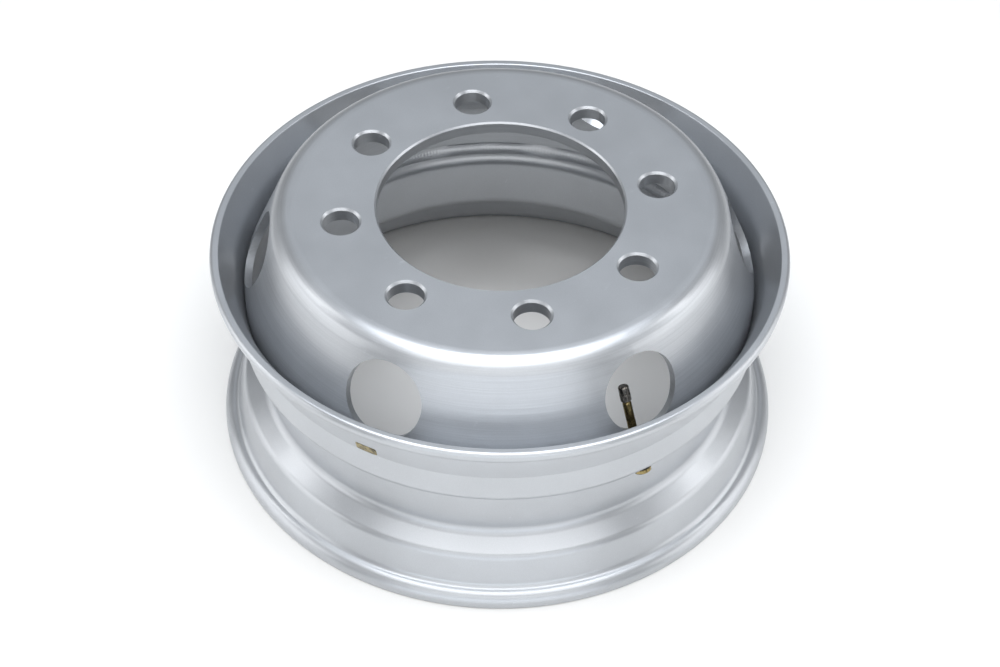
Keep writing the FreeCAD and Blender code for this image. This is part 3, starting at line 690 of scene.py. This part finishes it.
# Valve stem's section: radius, height above the rim's flat and rounding of each corner, in millimetres.
STEM = np.array([
    (1.3, -7.1, 0.3), (7.0, -7.1, 0.5), (8.0, -6.1, 0.5), (8.0, -3.1, 0.4), (4.2, -3.1, 0.2),
    (4.2, 18.0, 0.2), (3.95, 18.6, 0.3), (3.95, 59.8, 0.3), (3.7, 60.4, 0.2), (3.7, 74.4, 0.35),
    (2.5, 74.4, 0.3), (2.5, 54.4, 0.2), (1.3, 53.4, 0.2),
])
# Foot and top of each thread, and the radii between which its surface lies before it is cut.
NECK_THREAD = (-3.1 * MM, 18 * MM, 4.1 * MM, 4.3 * MM)
MOUTH_THREAD = (60.6 * MM, 74.2 * MM, 3.6 * MM, 3.8 * MM)
# Height at which the stem's mouth starts.
MOUTH_START = 60.4 * MM
# A groove's wave is raised by the first and lowered by the second, which leaves flats at its root and crest.
FLANK_GAIN, CREST_FLAT = 1.35, 0.1
# Points of a threaded surface lie this far apart along the stem.
THREAD_STEP = 0.11 * MM
STEM_TURNS = 48


def thread_cut(radius, height, turn, thread, sizes):
    """Depth of a screw thread on the surface that it is cut into.

    The depth falls and rises once per pitch, set back by the turn so that the groove climbs, and fades out
    over one pitch at each end.
    """
    foot, top, inner, outer = thread
    phase = np.mod(height / sizes.thread_pitch - turn / FULL_TURN, 1)
    groove = np.clip(FLANK_GAIN * (1 - np.abs(2 * phase - 1)) - CREST_FLAT, 0, 1)
    fade = np.clip(np.minimum(height - foot, top - height) / sizes.thread_pitch, 0, 1)
    on_surface = (radius > inner) & (radius < outer)
    return sizes.thread_depth * groove * fade * on_surface


def stem_points(sizes):
    """Valve stem: a closed section turned about the valve's axis, less the threads of its neck and mouth."""
    line = rounded(STEM[:, :2] * MM, STEM[:, 2] * MM)
    line = np.vstack([line, line[:1]])
    length = lengths(line)
    fine = np.arange(0, length[-1], THREAD_STEP)
    fine_radius = np.interp(fine, length, line[:, 0])
    fine_height = np.interp(fine, length, line[:, 1])
    on_neck = (fine_radius > NECK_THREAD[2]) & (fine_radius < NECK_THREAD[3]) & (fine_height < NECK_THREAD[1])
    on_mouth = (fine_radius > MOUTH_THREAD[2]) & (fine_height > MOUTH_START)
    section = resampled(line, fine[on_neck | on_mouth])[:-1]
    radius, height, turn = spread(section, STEM_TURNS)
    cut = (thread_cut(radius, height, turn, NECK_THREAD, sizes)
           + thread_cut(radius, height, turn, MOUTH_THREAD, sizes))
    points = on_valve(radius - cut, turn, height + FLAT * MM)
    return points.reshape(-1, 3), grid_quads(len(section), STEM_TURNS, wrap_rows=True, wrap_columns=True)


class WHEEL_OT_turn_stem(bpy.types.Operator):
    """Turn the valve's brass stem"""

    bl_idname = "wheel.turn_stem"
    bl_label = "Turn valve stem"

    def execute(self, context):
        points, quads = stem_points(context.scene.wheel_sizes)
        stem = new_piece("threaded_stem", points, quads, wheel_brass())
        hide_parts("valve_stem")
        return {"FINISHED"}


class WHEEL_OT_finish_fittings(bpy.types.Operator):
    """Finish the valve's nut, washer, core and rubber pieces"""

    bl_idname = "wheel.finish_fittings"
    bl_label = "Finish valve fittings"

    def execute(self, context):
        colours = context.scene.wheel_colours
        rubber = finish_material(moulded_rubber, "moulded_rubber", colours.rubber)
        for node in ("valve_nut", "valve_washer", "valve_core"):
            dress_node(node, wheel_brass())
        for node in ("valve_grommet", "cap_gasket"):
            dress_node(node, rubber)
        return {"FINISHED"}


# Valve cap's section from its ceiling to its end: radius, height above the rim's flat and rounding of each
# corner, in millimetres.
CAP = np.array([
    (0, 75.2, 0), (3.8, 75.2, 0.2), (3.8, 62.4, 0.2), (4.8, 62.4, 0.3), (4.8, 68.6, 0.15), (4.4, 68.9, 0.1),
    (4.4, 69.4, 0.1), (4.7, 69.7, 0.2), (4.7, 76.6, 2.0), (0, 76.6, 0),
])
# The ribbed band: its foot, its top, the least radius of its surface, and the length in which the ribs fade.
RIB_FOOT, RIB_TOP, RIB_RADIUS, RIB_FADE = 62.4 * MM, 68.6 * MM, 4.5 * MM, 0.5 * MM
# From point to point along the cap's section, and points round the cap for each rib.
CAP_STEP = 0.5 * MM
RIB_POINTS = 6


def cap_points(sizes):
    """Valve cap: a section turned about the valve's axis from its ceiling, out and over to its end.

    Ribs are a cosine of the turn, as deep as their grooves, on the band between the cap's foot and its ring
    groove.
    """
    line = rounded(CAP[:, :2] * MM, CAP[:, 2] * MM, steps=8, closed=False)
    section = resampled(line, np.arange(0, lengths(line)[-1], CAP_STEP))
    radius, height, turn = spread(section, RIB_POINTS * sizes.cap_ribs)
    band = np.clip(np.minimum(height - RIB_FOOT, RIB_TOP - height) / RIB_FADE, 0, 1) * (radius > RIB_RADIUS)
    ribs = sizes.rib_depth * band * (0.5 - 0.5 * np.cos(turn * sizes.cap_ribs))
    points = on_valve(radius - ribs, turn, height + FLAT * MM)
    return points.reshape(-1, 3), grid_quads(*radius.shape, wrap_columns=True)


class WHEEL_OT_screw_cap(bpy.types.Operator):
    """Screw the ribbed cap on the valve"""

    bl_idname = "wheel.screw_cap"
    bl_label = "Screw cap"

    def execute(self, context):
        points, quads = cap_points(context.scene.wheel_sizes)
        plating = finish_material(black_nickel, "black_nickel_plate", context.scene.wheel_colours.nickel)
        cap = new_piece("ribbed_cap", points, quads, plating)
        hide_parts("valve_cap")
        return {"FINISHED"}


# The tag's outer face stands this far off the seat, and the foil is this thick.
TAG_LIFT = 0.3 * MM
TAG_WALL = 0.25 * MM
# How far the tag's corners are drawn in, as a share of its size.
CORNER_PULL = 0.12
# Points across the tag and along it.
TAG_POINTS = (13, 25)


def tag_points(sizes):
    """Foil tag: a rectangle with drawn-in corners, laid on the bead seat's cone just above the paint."""
    across, along = np.meshgrid(*(np.linspace(-1, 1, count) for count in TAG_POINTS), indexing="ij")
    width = across * np.sqrt(1 - CORNER_PULL * along ** 6) / 2
    length = along * np.sqrt(1 - CORNER_PULL * across ** 6) / 2
    height = sizes.tag_height + (width + 0.5) * sizes.tag_width * math.cos(SEAT_SLOPE)
    radius = UPPER_HEEL[0] - (UPPER_HEEL[1] - height) * math.tan(SEAT_SLOPE) + TAG_LIFT
    turn = sizes.tag_turn + length * sizes.tag_length / radius
    return on_wheel(radius, turn, height).reshape(-1, 3), grid_quads(*across.shape)


class WHEEL_OT_stick_tag(bpy.types.Operator):
    """Stick the plain foil tag on the bead seat"""

    bl_idname = "wheel.stick_tag"
    bl_label = "Stick tag"

    def execute(self, context):
        points, quads = tag_points(context.scene.wheel_sizes)
        foil = finish_material(foil_tag, "lacquered_foil", context.scene.wheel_colours.tag)
        tag = new_piece("foil_tag", points, quads, foil)
        wall = tag.modifiers.new("thickness", "SOLIDIFY")
        wall.thickness = TAG_WALL
        wall.offset = -1
        return {"FINISHED"}


DAYLIGHT = (0.96, 1.0, 1.05)
SKY = (0.93, 1.0, 1.09)
NEUTRAL = (1.0, 1.0, 1.0)
ROOM_TINT = (0.95, 0.975, 1.0, 1.0)
# Each softbox: its place to the right, away and up, its width and height, its setting and its tint.
SOFTBOXES = {
    "overhead_softbox": ((0, -0.05, 2.1), (1.8, 0.9), "overhead", DAYLIGHT),
    "roof_softbox": ((0, -0.9, 2.1), (2.2, 0.9), "roof", NEUTRAL),
    "key_softbox": ((0, -2.3, 1.75), (3.6, 0.9), "key", NEUTRAL),
    "front_wall": ((0, -3.0, 0.6), (4.4, 1.1), "front", DAYLIGHT),
    "back_wall": ((0, 2.4, 2.3), (4.5, 2.2), "back", SKY),
    "left_softbox": ((-2.4, -0.2, 0.8), (2.4, 1.5), "left", NEUTRAL),
    "right_softbox": ((2.4, -0.2, 0.8), (2.4, 1.5), "right", NEUTRAL),
    "left_strip": ((-1.6, 0.15, 1.5), (0.35, 0.6), "strips", NEUTRAL),
    "right_strip": ((1.6, 0.15, 1.5), (0.35, 0.6), "strips", NEUTRAL),
}
# All softboxes face the middle of the rim.
LIT_POINT = Vector((0, 0, 0.12))
# The floor reaches this far each way, in metres, on this many lines of points.
FLOOR_REACH = 30
FLOOR_LINES = 5
# Width of the camera's frame in millimetres, and the nearest thing that it shows, in metres.
FRAME_WIDTH = 36
NEAREST = 0.05


def studio(right, away, up, turn):
    """Point at distances to the camera's right, away from the camera and up from the wheel's foot."""
    return Vector((right * math.cos(turn) - away * math.sin(turn),
                   right * math.sin(turn) + away * math.cos(turn), up))


def add_softbox(name, place, size, brightness, tint):
    """Rectangular lamp whose face has the given brightness and tint; the camera doesn't see it."""
    lamp = bpy.data.lights.new(name, "AREA")
    lamp.shape = "RECTANGLE"
    lamp.size, lamp.size_y = size
    # Power of an evenly bright face: its brightness times pi and its area.
    lamp.energy = brightness * math.pi * size[0] * size[1]
    lamp.color = tint
    thing = bpy.data.objects.new(name, lamp)
    thing.location = place
    thing.rotation_euler = (LIT_POINT - place).to_track_quat("-Z", "Y").to_euler()
    thing.visible_camera = False
    bpy.context.scene.collection.objects.link(thing)


def lay_floor(scene):
    """Flat square of laminate under the wheel: a grid of points at height nought."""
    side = np.linspace(-FLOOR_REACH, FLOOR_REACH, FLOOR_LINES)
    across, along = np.meshgrid(side, side, indexing="ij")
    points = np.stack([across, along, np.zeros_like(across)], axis=-1).reshape(-1, 3)
    mesh = bpy.data.meshes.new("floor")
    mesh.from_pydata(points, [], grid_quads(FLOOR_LINES, FLOOR_LINES)[:, ::-1])
    mesh.materials.append(finish_material(white_laminate, "white_laminate", scene.wheel_colours.floor))
    floor = bpy.data.objects.new("floor", mesh)
    scene.collection.objects.link(floor)


def light_room(scene):
    """Even pale light from all sides."""
    world = bpy.data.worlds.new("pale_room")
    world.use_nodes = True
    world.node_tree.nodes.clear()
    glow = add_node(world.node_tree, "ShaderNodeBackground", {
        "Color": ROOM_TINT, "Strength": scene.wheel_stage.room})
    add_node(world.node_tree, "ShaderNodeOutputWorld", {"Surface": glow.outputs["Background"]})
    scene.world = world


def place_camera(scene):
    """Camera turned about the upright by its turn, then dipped, then rolled about its own line of sight."""
    stage = scene.wheel_stage
    turn, dip, roll = stage.camera_turn, stage.camera_dip, stage.camera_roll
    right = studio(1, 0, 0, turn)
    level = studio(0, 1, 0, turn)
    upward = Vector((0, 0, 1))
    ahead = level * math.cos(dip) - upward * math.sin(dip)
    up = level * math.sin(dip) + upward * math.cos(dip)
    rolled_right = right * math.cos(roll) + up * math.sin(roll)
    rolled_up = up * math.cos(roll) - right * math.sin(roll)
    turned = Matrix((rolled_right, rolled_up, -ahead)).transposed().to_4x4()
    lens = bpy.data.cameras.new("photo_camera")
    lens.lens = stage.lens
    lens.sensor_width = FRAME_WIDTH
    lens.sensor_fit = "HORIZONTAL"
    lens.clip_start = NEAREST
    camera = bpy.data.objects.new("photo_camera", lens)
    camera.matrix_world = Matrix.Translation(stage.camera_place) @ turned
    scene.collection.objects.link(camera)
    scene.camera = camera


class WHEEL_OT_set_stage(bpy.types.Operator):
    """Set the floor, the lamps and the camera"""

    bl_idname = "wheel.set_stage"
    bl_label = "Set stage"

    def execute(self, context):
        scene = context.scene
        stage = scene.wheel_stage
        lay_floor(scene)
        for name, (place, size, setting, tint) in SOFTBOXES.items():
            add_softbox(name, studio(*place, stage.camera_turn), size, getattr(stage, setting), tint)
        light_room(scene)
        place_camera(scene)
        scene.view_settings.view_transform = "Standard"
        return {"FINISHED"}


OPERATORS = (
    WHEEL_OT_roll_rim,
    WHEEL_OT_press_disc,
    WHEEL_OT_lay_weld,
    WHEEL_OT_turn_stem,
    WHEEL_OT_finish_fittings,
    WHEEL_OT_screw_cap,
    WHEEL_OT_stick_tag,
    WHEEL_OT_set_stage,
)


class WHEEL_PT_sidebar(bpy.types.Panel):
    """Lists the steps that finish the wheel"""

    bl_label = "Steel disc wheel"
    bl_idname = "WHEEL_PT_sidebar"
    bl_space_type = "VIEW_3D"
    bl_region_type = "UI"
    bl_category = "Wheel"

    def draw(self, context):
        for operator in OPERATORS:
            self.layout.operator(operator.bl_idname)
        for settings in (context.scene.wheel_sizes, context.scene.wheel_colours, context.scene.wheel_stage):
            box = self.layout.box()
            for name in settings.__annotations__:
                box.prop(settings, name)


CLASSES = (WheelColours, WheelSizes, StageSettings, *OPERATORS, WHEEL_PT_sidebar)


def register():
    for item in CLASSES:
        bpy.utils.register_class(item)
    bpy.types.Scene.wheel_colours = bpy.props.PointerProperty(type=WheelColours)
    bpy.types.Scene.wheel_sizes = bpy.props.PointerProperty(type=WheelSizes)
    bpy.types.Scene.wheel_stage = bpy.props.PointerProperty(type=StageSettings)


def unregister():
    del bpy.types.Scene.wheel_stage
    del bpy.types.Scene.wheel_sizes
    del bpy.types.Scene.wheel_colours
    for item in reversed(CLASSES):
        bpy.utils.unregister_class(item)


def main():
    register()
    bpy.ops.wheel.roll_rim()
    bpy.ops.wheel.press_disc()
    bpy.ops.wheel.lay_weld()
    bpy.ops.wheel.turn_stem()
    bpy.ops.wheel.finish_fittings()
    bpy.ops.wheel.screw_cap()
    bpy.ops.wheel.stick_tag()
    bpy.ops.wheel.set_stage()
    bpy.context.view_layer.update()


if __name__ == "__main__":
    main()
